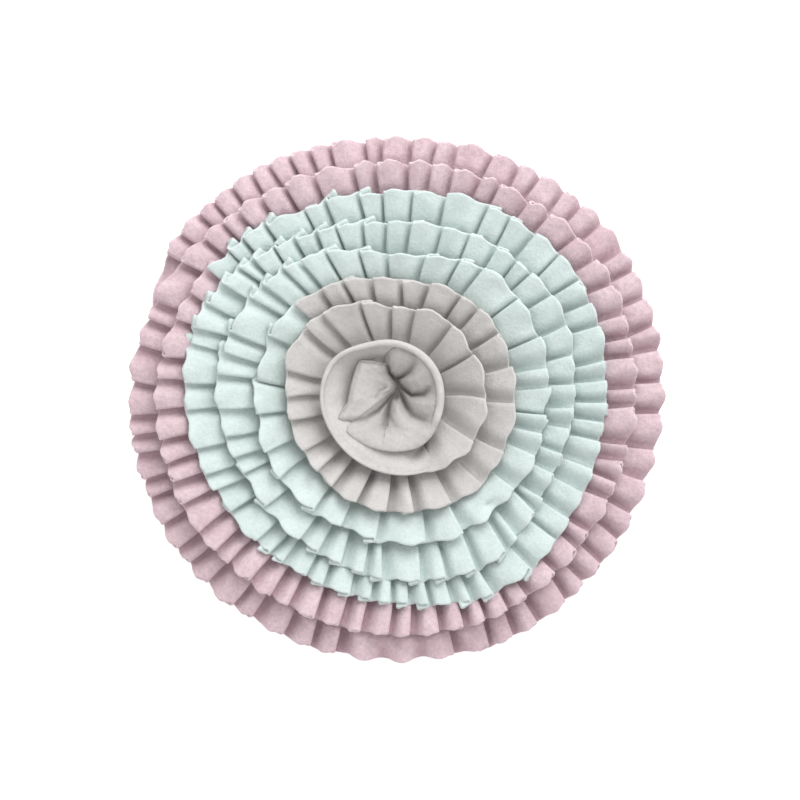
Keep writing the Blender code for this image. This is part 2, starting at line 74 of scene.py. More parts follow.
STACK_SEWN = 9.1
STACK_FREE = 11.5
NOMINAL_REACH = 42.0
EDGE_MARGIN = 3.0
OVERLAP_STEPS = 5

SEAM_STEPS = (285.0, 350.0)
SLOPE_STEPS = (262.0, 335.0)
SPIRAL_START = 290.0
CLIMB = 40.0
START_TAPER = 14.0
START_DRAWN_IN = 11.0

EDGE_COLUMNS = ("pink_1", "pink_2", "mint_1", "mint_2", "mint_3", "grey_1", "grey_2", "roll")
EDGE_RADIUS = {
    # clock angle: radius of each row's free edge
    300: (233, 217, 195, 177, 150, 119, 99, 64),
    330: (229, 205, 180, 158, 139, 111, 91, 54),
    0: (222, 200, 175, 149, 121, 100, 77, 49),
    30: (227, 202, 181, 153, 131, 102, 78, 45),
    60: (230, 206, 183, 156, 132, 102, 74, 42),
    90: (226, 201, 177, 149, 127, 99, 74, 40),
    120: (224, 198, 176, 148, 125, 101, 73, 41),
    150: (225, 201, 184, 158, 126, 100, 68, 45),
    180: (223, 200, 173, 152, 122, 95, 65, 45),
    210: (225, 198, 169, 145, 116, 93, 63, 47),
    240: (227, 202, 172, 143, 121, 90, 63, 52),
    270: (227, 203, 178, 151, 119, 93, 65, 60),
}
SECTOR = 30.0
FIRST_SECTOR = 300.0

TURNS = (
    # name, seam radius, rise
    ("lead_in", 192, -0.3),
    ("pink_1", 183, -0.3),
    ("pink_2", 160, 14),
    ("mint_1", 136, 16.5),
    ("mint_2", 110.5, 17.5),
    ("mint_3", 85, 19),
    ("grey_1", 60, 21),
    ("grey_2", 40, 26),
    ("roll", 33, 30),
)
_, SEAM_RADII, ROW_RISES = zip(*TURNS)

PLEATS = {
    # clock angle: raised folds of each row in the next 30 degrees, pink_1 to mint_3
    300: (6, 5, 6, 5, 4),
    330: (7, 4, 4, 4, 3),
    0: (5, 5, 3, 3, 3),
    30: (5, 4, 4, 4, 3),
    60: (5, 5, 4, 3, 3),
    90: (4, 5, 6, 4, 3),
    120: (5, 4, 3, 4, 1),
    150: (5, 5, 5, 3, 3),
    180: (4, 5, 5, 4, 2),
    210: (5, 5, 4, 3, 2),
    240: (6, 5, 5, 4, 2),
    270: (4, 4, 4, 2, 3),
}
WIDE_FACES = {
    # turn: clock angles of a wide face's raised fold and of the next fold
    "pink_1": ((167.6, 194),),
    "mint_1": ((5, 14), (14, 26), (132, 142), (225, 236)),
    "mint_2": ((357, 372), (173, 185), (215, 231), (267, 278)),
    "mint_3": (
        (39, 51), (67, 79), (113, 128), (128, 154), (154, 169),
        (189, 204), (204, 217), (217, 236), (248, 264),
    ),
}
WIDE_MARGIN = 2.4
GREY_FOLDS = {
    "grey_1": (
        326, 336, 349, 363, 377, 393, 403, 418, 435, 453, 477,
        495, 513, 532, 546, 562, 577, 588, 601, 619, 631, 645,
    ),
    "grey_2": (319, 340, 358, 373, 398, 421, 451, 480),
}
STRIP_BEGINS = {
    "pink": (290, 461.5, 652, 821.5),
    "mint": (1024.5, 1190, 1365, 1540, 1725, 1886, 2077.5),
    "grey": (2112, 2295, 2468),
}
STRIPS = [
    (f"{cloth}_strip_{number}", begin)
    for cloth, begins in STRIP_BEGINS.items()
    for number, begin in enumerate(begins, 1)
]
CUTS = {begin for _, begin in STRIPS}
PLEATS_END = 2670.0
CUT_MARGIN = 1.9


def smooth(value):
    value = min(1.0, max(0.0, value))
    return value * value * (3.0 - 2.0 * value)


def rise(value, begin, over):
    """0 up to a value, then smoothly up to 1 over a distance; a pair such as LOOSE holds these two."""
    return smooth((value - begin) / over)


def mix(low, high, share):
    return low + (high - low) * share


def metres(x, y, z):
    return (x * MM, y * MM, z * MM)


def place(radius, angle, height):
    turned = math.radians(angle)
    return metres(radius * math.sin(turned), radius * math.cos(turned), height)


def turn_start(name):
    return 360.0 * (EDGE_COLUMNS.index(name) + 1)


EDGE_KNOTS = [radius for column in zip(*EDGE_RADIUS.values()) for radius in column]


def edge_radius(angle):
    """Radius of the free edge: a smooth curve through EDGE_RADIUS, read row by row around the spiral."""
    position = (angle - FIRST_SECTOR) / SECTOR
    first = math.floor(position)
    share = position - first
    last = len(EDGE_KNOTS) - 1
    before, low, high, after = (EDGE_KNOTS[min(last, max(0, first + step))] for step in (-1, 0, 1, 2))
    cubic = 3 * (low - high) + after - before
    square = 2 * before - 5 * low + 4 * high - after
    drawn_in = START_DRAWN_IN * (1.0 - rise(angle, SPIRAL_START, START_TAPER))
    return low + 0.5 * share * (high - before + share * (square + share * cubic)) - drawn_in


def turn_value(values, angle, begin, end):
    """A turn's value, which passes over to the next turn's between two clock angles."""
    turn = max(0, math.floor((angle - begin) / 360.0))
    share = smooth((angle - begin - 360.0 * turn) / (end - begin))
    later = min(turn + 1, len(values) - 1)
    return mix(values[turn], values[later], share)


def seam_radius(angle):
    return turn_value(SEAM_RADII, angle, *SEAM_STEPS)


def row_slope(angle):
    return turn_value(ROW_RISES, angle, *SLOPE_STEPS) / (edge_radius(angle) - seam_radius(angle))


def row_height(angle, out):
    return seam_height(angle) + row_slope(angle) * out


@functools.lru_cache(maxsize=None)
def seam_height(angle):
    """The seam lies on the backing, or is lifted where the turn outside it lies close underneath."""
    again = SPIRAL_START + 360.0
    if angle < again - CLIMB:
        return SEAM_FLAT
    if angle < again:
        return mix(SEAM_FLAT, seam_height(again), smooth((angle - again + CLIMB) / CLIMB))
    outer = angle - 360.0
    pitch = seam_radius(outer) - seam_radius(angle)
    slope = row_slope(angle)
    covered = edge_radius(angle) + EDGE_MARGIN - seam_radius(outer)
    lift = 0.0
    for step in range(OVERLAP_STEPS + 1):
        out = covered * step / OVERLAP_STEPS
        top = row_height(outer, out) + mix(STACK_SEWN, STACK_FREE, out / NOMINAL_REACH)
        lift = max(lift, top - SEAM_FLAT - slope * (out + pitch))
    return SEAM_FLAT + lift


def clear_of(folds, low, high):
    return [fold for fold in folds if not low < fold < high]


def pleat_folds():
    """Spiral angles of the raised folds: so many a sector, and those of wide faces, grey rows and cuts."""
    rng = random.Random(SEED)
    folds = []
    for turn, counts in enumerate(zip(*PLEATS.values())):
        for sector, count in enumerate(counts):
            begin = FIRST_SECTOR + 360.0 * turn + SECTOR * sector
            for step in range(count):
                part = step + 0.5 + rng.uniform(-PLEAT_JITTER, PLEAT_JITTER)
                folds.append(begin + SECTOR * part / count)
    folds = [fold for fold in folds if fold < STRIP_BEGINS["grey"][0] - CUT_MARGIN]
    for name, faces in WIDE_FACES.items():
        for begin, end in faces:
            low, high = turn_start(name) + begin, turn_start(name) + end
            folds = clear_of(folds, low - WIDE_MARGIN, high + WIDE_MARGIN) + [low, high]
    for name, angles in GREY_FOLDS.items():
        folds.extend(turn_start(name) - 360.0 + angle for angle in angles)
    for cut in CUTS:
        folds = clear_of(folds, cut - CUT_MARGIN, cut + CUT_MARGIN) + [cut]
    folds = sorted(set(folds)) + [PLEATS_END]
    kept = [folds[0]]
    for fold in folds[1:]:
        wide_enough = math.radians(fold - kept[-1]) * edge_radius(fold) >= LEAST_PLEAT
        if wide_enough:
            kept.append(fold)
        elif fold in CUTS or fold == PLEATS_END:
            kept[-1] = fold
    return kept


def leans(folds):
    """How far each fold leans along the strip, in degrees of turn from its free edge to its seam."""
    rng = random.Random(SEED + 1)
    out = []
    for fold in folds:
        wave = LEAN_WAVE * math.sin(math.radians(fold * LEAN_WAVES))
        lean = wave + rng.uniform(-LEAN_SCATTER, LEAN_SCATTER)
        reach = edge_radius(fold) - seam_radius(fold)
        out.append(math.degrees(reach * math.tan(math.radians(lean)) / edge_radius(fold)))
    return out


def row_folds(folds, leaning, share):
    """One line across the strip: each fold's angle, tuck in degrees, tail height, top height and radius."""
    layer = mix(LAYER_SEWN, LAYER_FREE, share)
    angles = [fold + lean * (1.0 - share) for fold, lean in zip(folds, leaning)]
    radii = [mix(seam_radius(fold), edge_radius(fold), share) for fold in folds]
    widths = [math.radians(b - a) * r for a, b, r in zip(angles, angles[1:], radii[1:])]
    widths.append(widths[-1])
    longest = mix(TUCK_SEWN, TUCK_FREE, share)
    tucks = [min(longest, TUCK_SHARE * width) for width in widths]
    tails = [layer]
    tops = [END_LAYERS * layer]
    for i in range(1, len(folds)):
        width, tuck = widths[i - 1], tucks[i]
        tails.append(tops[-1] * tuck / (width + tuck))
        following = tucks[i + 1] if i + 1 < len(folds) else tuck
        over = widths[i] + following
        stacked = layer * (END_LAYERS if folds[i] in CUTS else FOLD_LAYERS)
        tops.append(max(tails[-1] + stacked, stacked * over / (over - tuck)))
    turned = [math.degrees(tuck / radius) for tuck, radius in zip(tucks, radii)]
    return angles, turned, tails, tops, radii


# ---- the cloth's own unevenness

SHARES = (0.0, 0.14, 0.27, 0.38, 0.47, 0.55, 0.62, 0.69, 0.76, 0.82, 0.87, 0.91, 0.945, 0.975, 1.0)
LEAST_FACE_STEPS = 14
FACE_STEP = 3.2
FACE_CLOSING = 1.4
LIP_STEPS = 7
TAIL_STEPS = 2
INNER_BEND_STEPS = 5
MIDDLE_STEPS = 2

# a fold's face, which falls into the crevice at the next fold
LEAST_FACE = 4.0
FACE_END = 1.2
LONGEST_END = 0.3
EARLIEST_FALL = 0.05
END_SPREAD = (0.3, 1.0)
CORNER_OVER = 0.3
DRAWN = (0.5, 0.5)
PEEK_DRAW = 0.75
HIGHEST_EASE = 2.0
LOOSE = (0.55, 0.45)
FLUTTER = 0.65
SWAY = 1.3

# its raised fold, and the hidden layers that peep past the free edge
LEAST_LIP = 0.5
HIDDEN_LIP = 0.7
LIP_SPREAD = (0.8, 1.2)
HIDDEN_PEEK = (0.0, 0.7)
TAIL_DIP = 0.6
BEND_BACK = 0.12
CURL = 0.85
CURLED = (0.84, 0.16)
LOOP_TUCK = 8.5
LOOP_PEEK = 3.0
SHOWN_MARGIN = 4.0
SHOWN_OVER = 12.0

# waves along a wide face
WAVE_LENGTH = 26.0
WAVES_LOST = 0.5
WAVE_REACH = 1.9
# painted shade in the troughs of the waves on a wide face
TROUGH_SHADE = 0.9

# clock angles between which the mat lies slack, and those at its bottom where it is drawn taut again
SLACK = (40.0, 320.0)
SLACK_EASE = 30.0
SLACK_FALL = 0.7
SLACK_END = 1.7
TAUT = (125.0, 222.0)
TAUT_SHARE = 0.75
TAUT_CORNERS = 0.6

# soft dents, the ragged cut edge and the cloth's own weight
DENT_AMOUNT = 0.95
DENT_SIZE = 12.0
FINE_DENTS = 0.45
FINER = 2.7
RAGGED = 0.5
RAGGED_SIZE = 4.0
SHIFT_POWER = 4
RAGGED_POWER = 12
EDGE_DROOP = 0.9
DROOP_POWER = 6
RIM_DROOP = 1.4
RIM = (12.0, 22.0)
RIM_EASE = 60.0
LOW_CLOTH = 8.0
LOWEST = 1.6

# the last pleat, which runs on into the band around the middle, and the crease between them
END_OVER = 1.0
END_TURN = 13.0
END_TURN_SHARES = (0.1, 0.7)
END_HEIGHT = 2.0
END_FALL = (0.35, 0.75)
END_DIVE = 3.4
END_DRAW = 2.4
BAND_CREASE = 6.5
# how strong the painted shade in that crease is
BAND_SHADE = 0.8
BAND_CREASE_WIDTH = 4.6
BAND_CREASE_TURN = (-8.0, 24.0)
BAND_CREASE_OPENS = 0.15
BAND_CREASE_FADES = (0.4, 0.45)

# a sheet's rounded edges, as shares of half its thickness, and a painted highlight that makes the cut edge
# paler
FREE_ROUND = 0.7
SEAM_ROUND = 0.5
EDGE_HIGHLIGHT = (0.2, 0.6, 0.2)
TINY = 1e-12

FOLD_MANNERS = {
    # cloth: puff of the faces, length of their fall, fold radius, slackness, low end, height of waves, how
    # strong the painted shade is in the crevices (at the mat's top, sides and bottom), and at the free edge
    # its step, bow, draw under the next fold and rounded corner
    "pink": {
        "puff": (2.2, 4.8), "fall": (7.0, 12.0), "fold": 2.1, "ease": 0.1, "low": 2.0, "wave": 4.4,
        "pressed": (0.05, 0.32, 0.52),
        "step": 1.0, "bow": (0.4, 1.8), "draw": (1.4, 3.2), "corner": (0.8, 2.4),
    },
    "mint": {
        "puff": (0.7, 2.7), "fall": (4.0, 9.0), "fold": 1.4, "ease": 0.9, "low": 1.0, "wave": 3.0,
        "pressed": (0.0, 0.0, 0.12),
        "step": 1.4, "bow": (-0.5, 0.9), "draw": (0.2, 2.0), "corner": (-0.4, 0.9),
    },
    "grey": {
        "puff": (1.0, 3.4), "fall": (6.0, 11.0), "fold": 1.7, "ease": 0.7, "low": 1.5, "wave": 0.0,
        "pressed": (0.14, 0.0, 0.5),
        "step": 0.9, "bow": (-0.5, 0.9), "draw": (0.2, 1.4), "corner": (-0.4, 0.8),
    },
}
LOOPED = (
    # cloth, clock angles between which hidden layers peep past the free edge, share of folds, reach
    ("mint", 285, 360, 0.9, (5.2, 8.4)),
    ("mint", 0, 60, 0.45, (1.6, 3.4)),
    ("mint", 60, 140, 0.5, (1, 2.6)),
    ("mint", 140, 235, 0.8, (3, 6.4)),
    ("mint", 235, 285, 0.5, (1, 2.8)),
    ("grey", 300, 345, 0.5, (1.5, 3.6)),
    ("grey", 130, 200, 0.6, (1.6, 3.6)),
    ("pink", 290, 350, 0.5, (1.2, 2.8)),
    ("pink", 120, 250, 0.5, (1.2, 3.4)),
)
LOOSE_ENDS = (
    # spiral angle of a fold, its step past the row's edge, and the edge's turn inward across its face
    (1024.5, 1.8, -7.5),
    (1886, 2.6, -6),
    (2062, -1, 4.5),
)
LOOSE_REACH = 3.0
LOOSE_MANNER = {"bow": 0.0, "draw": 0.0, "corner": 0.0, "end": 0.8, "fall": 4.0, "flutter": 0.6}


def cloth_at(angle):
    """Colour of the strip at a spiral angle."""
    return [name for name, begin in STRIPS if begin <= angle + 1e-6][-1].split("_")[0]


def within(clock, span):
    """1 between two clock angles and 0 away from them, with soft ends."""
    return rise(clock, span[0], SLACK_EASE) * smooth((span[1] - clock) / SLACK_EASE)


def fold_characters(folds):
    """Each fold's own slackness: its puff, fall, steps and how far its hidden layers peep past the edge."""
    rng = random.Random(SEED + 2)
    out = []
    for fold in folds:
        clock = fold % 360.0
        slack, taut = within(clock, SLACK), within(clock, TAUT)
        cloth = cloth_at(fold)
        manner = FOLD_MANNERS[cloth]
        pressed_top, pressed_sides, pressed_bottom = manner["pressed"]
        rounded = 1.0 - TAUT_CORNERS * taut
        peek = rng.uniform(*HIDDEN_PEEK)
        for looped, begin, end, often, reach in LOOPED:
            chosen = rng.random() < often
            if looped == cloth and begin <= clock < end and chosen:
                peek = rng.uniform(*reach)
        tilt = 0.0
        for angle, step, turned in LOOSE_ENDS:
            if abs(fold - angle) < LOOSE_REACH:
                tilt, loose_step = turned, step
        own = {
            "tilt": tilt,
            "peek": peek,
            "puff": rng.uniform(*manner["puff"]),
            "fall": rng.uniform(*manner["fall"]) * (1.0 + manner["ease"] * SLACK_FALL * slack),
            "end": FACE_END + manner["low"] * SLACK_END * slack * rng.uniform(*END_SPREAD),
            "dip": mix(TAIL_DIP, 1.0, taut),
            "wave": manner["wave"],
            # painted shade in this fold's crevice, stronger at the mat's sides and bottom
            "pressed": mix(mix(pressed_top, pressed_sides, slack), pressed_bottom, taut),
            "ease": manner["ease"] * slack * (1.0 - TAUT_SHARE * taut) * rng.uniform(0.0, 1.0),
            "fold": manner["fold"] * rng.uniform(*LIP_SPREAD),
            "step": rng.uniform(-1.0, 1.0) * manner["step"],
            "draw": rng.uniform(*manner["draw"]) * rounded,
            "bow": rng.uniform(*manner["bow"]) * rounded,
            "corner": rng.uniform(*manner["corner"]) * rounded,
            "flutter": rng.uniform(-FLUTTER, FLUTTER),
            "curve": rng.uniform(-SWAY, SWAY),
            "sink": rng.uniform(0.0, 1.0),
        }
        if tilt:
            own.update(LOOSE_MANNER, step=loose_step)
        out.append(own)
    return out


def shown(angle, radius):
    """0 where the turn inside lies over the cloth, 1 where the cloth shows."""
    over = edge_radius(angle + 360.0)
    return smooth((radius - over + SHOWN_MARGIN) / SHOWN_OVER)


def face_steps(begin, end):
    """Steps along a face between two folds, more on a wide one."""
    return max(LEAST_FACE_STEPS, round(math.radians(end - begin) * edge_radius(end) / FACE_STEP))


def lip_points(own, begin, top, lip, degree):
    """Over a raised fold: half a turn from the hidden layers up onto the face."""
    points = []
    for step in range(LIP_STEPS):
        part = (step + 0.5) / LIP_STEPS
        turn = math.pi * part
        across = begin + (lip - lip * math.sin(turn)) * degree
        shift = mix(own["peek"] / 2.0, own["step"] - own["corner"], smooth(part))
        points.append((across, top - lip - lip * math.cos(turn), shift, 0.0))
    return points


def inner_points(peek, inner, curl, layer, degree, next_angle, next_height):
    """Round the hidden bend, and back up to the next raised fold."""
    bend = layer / 2.0
    points = []
    for step in range(INNER_BEND_STEPS):
        turn = math.pi * step / (INNER_BEND_STEPS - 1)
        across = inner - bend * degree + bend * math.sin(turn) * degree
        shift = peek * (1.0 - BEND_BACK * (1.0 - math.cos(turn)))
        points.append((across, bend - bend * math.cos(turn) + curl, shift, 0.0))
    for step in range(1, MIDDLE_STEPS + 1):
        part = step / (MIDDLE_STEPS + 1)
        across = mix(inner - bend * degree, next_angle, part)
        shift = peek * mix(1.0 - 2.0 * BEND_BACK, 0.5, part)
        points.append((across, mix(layer + curl, next_height, part), shift, 0.0))
    return points


def strip_line(folds, rows, characters, first, last, share):
    """Middle of the cloth along one line across the strip.

    Each point has a spiral angle, a height, a shift out at the free edge and how much painted shade darkens
    its colour.
    """
    angles, turned, tails, tops, radii = rows
    layer = mix(LAYER_SEWN, LAYER_FREE, share)
    loose, curl_up = rise(share, *LOOSE), rise(share, *CURLED)

    def fold_at(i):
        """Angle, top, tail and fold radius where fold i is raised."""
        own = characters[i]
        lifted = shown(angles[i], radii[i])
        tail = tails[i] * (1.0 - own["dip"] * lifted) if i > first else tails[i]
        top = tops[i] + own["puff"] * lifted + own["flutter"] * loose
        lip = max(LEAST_LIP, min(mix(HIDDEN_LIP, own["fold"], lifted), (top - tail - layer) / 2.0))
        sway = own["curve"] * math.sin(math.pi * share) * math.degrees(1.0 / radii[i])
        return angles[i] + sway, top, tail, lip

    line = []
    for i in range(first, last):
        own, following = characters[i], characters[i + 1]
        degree = math.degrees(1.0 / radii[i])
        start, top, _, lip = fold_at(i)
        end, next_top, tail, next_lip = fold_at(i + 1)
        is_last = i + 1 == last
        runs_on = is_last and folds[last] == PLEATS_END
        peek = following["peek"]
        if i > first:
            line.extend(lip_points(own, start, top, lip, degree))
            start += lip * degree
        if runs_on:
            end += END_OVER + END_TURN * rise(share, *END_TURN_SHARES)
        width = max(LEAST_FACE, (end - start) / degree)
        falls_to = 1.0 - min(LONGEST_END, own["end"] / width)
        falls_from = max(EARLIEST_FALL, falls_to - own["fall"] / width)
        waves = max(0.0, width / WAVE_LENGTH - WAVES_LOST)
        draw = own["draw"] - PEEK_DRAW * peek
        if runs_on:
            tail, draw = END_HEIGHT, own["step"]
            falls_from, falls_to = END_FALL
        steps = face_steps(folds[i], folds[i + 1])
        for step in range(steps + 1):
            part = 1.0 - (1.0 - step / steps) ** FACE_CLOSING
            fallen = rise(part, falls_from, falls_to - falls_from)
            swing = min(1.0, waves) * math.sin(math.tau * max(1.0, round(waves)) * part) * (1.0 - fallen)
            edge = own["step"] - own["corner"] * (1.0 - smooth(part / CORNER_OVER))
            edge += own["bow"] * math.sin(math.pi * part)
            edge += own["tilt"] * part - draw * rise(part, *DRAWN)
            dip = own["sink"] * math.sin(math.pi * min(1.0, part / falls_to)) * loose
            dip -= own["ease"] * fallen * min(HIGHEST_EASE, top - tail) * (1.0 - part) * loose
            height = mix(top, tail, fallen) - dip + own["wave"] * swing * loose
            if runs_on:
                dived = rise(part, falls_to, 1.0 - falls_to)
                height -= END_DIVE * dived
                edge -= END_DRAW * dived
            # painted shade where the face falls into the crevice, and in the troughs of its waves
            dark = own["pressed"] * (fallen**2 + TROUGH_SHADE * max(0.0, -swing) * share)
            line.append((mix(start, end, part), height, edge + WAVE_REACH * swing, dark))
        if runs_on:
            break
        curl = CURL * curl_up * peek
        too_long = max(0.0, turned[i + 1] - LOOP_TUCK * degree)
        inner = angles[i + 1] + (turned[i + 1] - curl_up * too_long * smooth(peek / LOOP_PEEK))
        for step in range(1, TAIL_STEPS + 1):
            part = step / (TAIL_STEPS + 1)
            height = tail * (1.0 - part) + curl * part
            line.append((mix(end, inner, part), height, mix(own["step"] - draw, peek, smooth(part)), 0.0))
        if is_last:
            line.append((inner, 0.0, own["step"] - draw, 0.0))
        else:
            next_angle, next_height = end + next_lip * degree, next_top - 2.0 * next_lip
            line.extend(inner_points(peek, inner, curl, layer, degree, next_angle, next_height))
    return line


def band_crease(angle, share):
    """Depth of the crease where the last pleat turns into the band; it fades towards the free edge."""
    radius = mix(seam_radius(angle), edge_radius(angle), share)
    across = math.radians(angle - PLEATS_END - mix(*BAND_CREASE_TURN, share)) * radius
    fading = smooth(share / BAND_CREASE_OPENS) * (1.0 - rise(share, *BAND_CREASE_FADES))
    return BAND_CREASE * fading * math.exp(-((across / BAND_CREASE_WIDTH) ** 2))


def droop(angle, out, reach):
    """The cloth's own weight: the free edge bows down, and the outermost row sinks past the backing."""
    sag = EDGE_DROOP * max(0.0, out / reach) ** DROOP_POWER
    if angle < SPIRAL_START + 360.0:
        past = rise(out, *RIM)
        sag += RIM_DROOP * past * smooth((SPIRAL_START + 360.0 - angle) / RIM_EASE)
    return sag


def dent(point):
    """Soft unevenness of hand-sewn cloth, a few tenths of a millimetre over a centimetre or so."""
    spot = Vector(point) / (DENT_SIZE * MM)
    return DENT_AMOUNT * MM * (noise.noise(spot) + FINE_DENTS * noise.noise(spot * FINER))


def put(name, data):
    """Adds an object with its data to the scene."""
    made = bpy.data.objects.new(name, data)
    bpy.context.scene.collection.objects.link(made)
    return made


def ring_faces(rings, around, first=0):
    """Quads between closed rings of points, where first is the number of the first ring's first point."""
    faces = []
    for i in range(rings - 1):
        for j in range(around):
            a, b = first + i * around + j, first + i * around + (j + 1) % around
            faces.append((a, b, b + around, a + around))
    return faces


def fan_faces(around, first, tip):
    """Triangles between a closed ring of points and one point."""
    return [(first + i, first + (i + 1) % around, tip) for i in range(around)]


def solid_piece(name, points, faces, material):
    """A closed, smooth piece from points in metres."""
    mesh = bpy.data.meshes.new(name)
    mesh.from_pydata([tuple(point) for point in points], [], faces)
    solid = bmesh.new()
    solid.from_mesh(mesh)
    bmesh.ops.recalc_face_normals(solid, faces=solid.faces)
    solid.to_mesh(mesh)
    solid.free()
    mesh.polygons.foreach_set("use_smooth", [True] * len(mesh.polygons))
    mesh.materials.append(material)
    return put(name, mesh)


def point_values(piece, name, values):
    piece.data.attributes.new(name, "FLOAT", "POINT").data.foreach_set("value", values)


def sheet_mesh(name, grid, halves, material):
    """Closed cloth around a grid of points (along, across); halves is half its thickness along each row."""
    grid = np.array(grid)
    along, across, _ = grid.shape
    d_along = np.gradient(grid, axis=0)
    d_across = np.gradient(grid, axis=1)
    normal = np.cross(d_across, d_along)
    normal /= np.linalg.norm(normal, axis=2, keepdims=True) + TINY
    half = np.array(halves)[None, :, None] * MM
    upper, lower = grid + normal * half, grid - normal * half
    outward = grid[:, -1] - grid[:, -2]
    outward /= np.linalg.norm(outward, axis=1, keepdims=True) + TINY
    tip = grid[:, -1] + outward * halves[-1] * FREE_ROUND * MM
    root = grid[:, 0] - outward * halves[0] * SEAM_ROUND * MM
    rings = np.concatenate([upper, tip[:, None], lower[:, ::-1], root[:, None]], axis=1)
    around = rings.shape[1]
    faces = ring_faces(along, around)
    for i in (0, along - 1):
        base = i * around
        for j in range(across - 1):
            a, b = base + j, base + j + 1
            c, d = base + 2 * across - j - 1, base + 2 * across - j
            faces.append((a, b, c, d))
        faces.append((base + across - 1, base + across, base + across + 1))
        faces.append((base + 2 * across, base + 2 * across + 1, base))
    piece = solid_piece(name, rings.reshape(-1, 3), faces, material)
    # painted highlight along the cut edge: its tip and the rings beside it
    fade = np.zeros(around)
    fade[across - 1 : across + 2] = EDGE_HIGHLIGHT
    point_values(piece, "edge", np.tile(fade, along))
    return piece


def make_strip(node, folds, rows_at, characters, first, last, material):
    """One length of pleated strip, with its flat width and length in metres."""
    columns, pressed = [], []
    for share in SHARES:
        line = strip_line(folds, rows_at[share], characters, first, last, share)
        column, dark = [], []
        for angle, height, shift, darkness in line:
            seam = seam_radius(angle)
            reach = edge_radius(angle) - seam
            along = math.radians(angle) * edge_radius(angle)
            ragged = RAGGED * noise.noise(Vector((along / RAGGED_SIZE, height, 0.0)))
            out = reach * share + shift * share**SHIFT_POWER + ragged * share**RAGGED_POWER
            crease = band_crease(angle, share)
            base = row_height(round(angle, 1), out) - droop(angle, out, reach) - crease
            column.append(place(seam + out, angle, base + height))
            # painted shade of the crevices, and of the crease into the band
            dark.append(darkness + BAND_SHADE * crease / BAND_CREASE)
        columns.append(column)
        pressed.append(dark)
    grid = [
        [(x, y, max(z + dent((x, y, z)) * share, LOWEST * MM)) for (x, y, z), share in zip(row, SHARES)]
        for row in zip(*columns)
    ]
    halves = [mix(FLEECE_SEWN, FLEECE_FREE, share) / 2.0 for share in SHARES]
    piece = sheet_mesh(node.replace("strip", "ruffle"), grid, halves, material)
    # painted shade, which the material reads as a darker colour
    dark = np.array(pressed).T
    dark = np.concatenate([dark, dark[:, -1:], dark[:, ::-1], dark[:, :1]], axis=1)
    point_values(piece, "pressed", dark.ravel())
    lines = (np.diff(np.array(column), axis=0) for column in (columns[-1], columns[0]))
    lengths = [float(np.linalg.norm(line, axis=1).sum()) for line in lines]
    middle = 0.5 * (folds[first] + folds[last])
    width = math.hypot(1.0, row_slope(middle)) * (edge_radius(middle) - seam_radius(middle)) * MM
    return piece, width, sum(lengths) / 2.0


# ---- the roll: the strip's end wound upright

ROLL_END = 3040.0
ROLL_ZERO = 2880.0
ROLL_STEP = 2.0
ROLL_THICK = 2.4
ROLL_STATIONS = (
    # spiral angle, seam radius, rim height, half thickness of the rim, belly
    (2670, 40, 31.5, 1.2, 1.5),
    (2700, 38.5, 33.5, 1.4, 6),
    (2745, 36.5, 36, 1.5, 8.5),
    (2790, 34.5, 38.5, 1.7, 2.5),
    (2820, 33, 40.5, 2.2, 0.5),
    (2850, 32, 42, 2.8, 0.5),
    (2880, 31.5, 42.5, 3.1, 1.5),
    (2960, 31, 42.5, 3.4, 3),
    (2990, 31, 41.5, 3.3, 2.5),
    (3020, 31, 35, 2.6, 2),
    (3040, 31, 28, 1.4, 1),
)
ROLL_GAP = 0.4
ROLL_SHARES = tuple(i / 12 for i in range(13))
BELLY_LIFT = 1.0
RIM_TURNS = tuple(range(-45, 226, 18))


def station(angle):
    """Roll's seam radius, rim height, rim half thickness and belly at a spiral angle."""
    for low, high in zip(ROLL_STATIONS, ROLL_STATIONS[1:]):
        if angle <= high[0]:
            share = rise(angle, low[0], high[0] - low[0])
            return tuple(mix(a, b, share) for a, b in zip(low[1:], high[1:]))
    return ROLL_STATIONS[-1][1:]


def offset_line(points, distance):
    """Moves a line of (radius, height) points sideways by a distance."""
    line = np.array(points)
    ahead = np.gradient(line, axis=0)
    ahead /= np.linalg.norm(ahead, axis=1, keepdims=True)
    return line + distance * np.stack([-ahead[:, 1], ahead[:, 0]], axis=1)


@functools.lru_cache(maxsize=None)
def roll_section(angle):
    """Outer face, turned rim and inner face of the roll, each a list of (radius, height)."""
    seam, top, rim, belly = station(angle)
    edge = edge_radius(angle) - rim
    line = []
    for share in ROLL_SHARES:
        out = belly * math.sin(math.pi * share)
        height = mix(SEAM_FLAT, top - 2.0 * rim, share) + BELLY_LIFT * out - band_crease(angle, share)
        line.append((mix(seam, edge, share) - out, height))
    bead = []
    for degrees in RIM_TURNS:
        turn = math.radians(degrees)
        bead.append((edge + rim * math.cos(turn), line[-1][1] + rim * (1.0 + math.sin(turn))))
    half = ROLL_THICK / 2.0
    return offset_line(line, -half)[:-1], bead, offset_line(line, half)[:-1]


def make_roll(material):
    begin = PLEATS_END + ROLL_GAP
    count = round((ROLL_END - begin) / ROLL_STEP)
    angles = [mix(begin, ROLL_END, i / count) for i in range(count + 1)]
    points, pressed = [], []
    for angle in angles:
        outer, bead, inner = roll_section(angle)
        # painted shade in the crease where the last pleat turns into the band
        dark = [BAND_SHADE * band_crease(angle, share) / BAND_CREASE for share in ROLL_SHARES[:-1]]
        pressed.extend([*dark, *[0.0] * len(bead), *dark[::-1]])
        ring = [place(r, angle, z) for r, z in (*outer, *bead, *inner[::-1])]
        points.extend((x, y, z + dent((x, y, z)) if z > LOW_CLOTH * MM else z) for x, y, z in ring)
    around = len(ring)
    faces = [tuple(range(around)), tuple(count * around + i for i in range(around))]
    faces.extend(ring_faces(count + 1, around))
    piece = solid_piece("grey_turned_roll", points, faces, material)
    point_values(piece, "pressed", pressed)
    return piece


# ---- the gathered middle

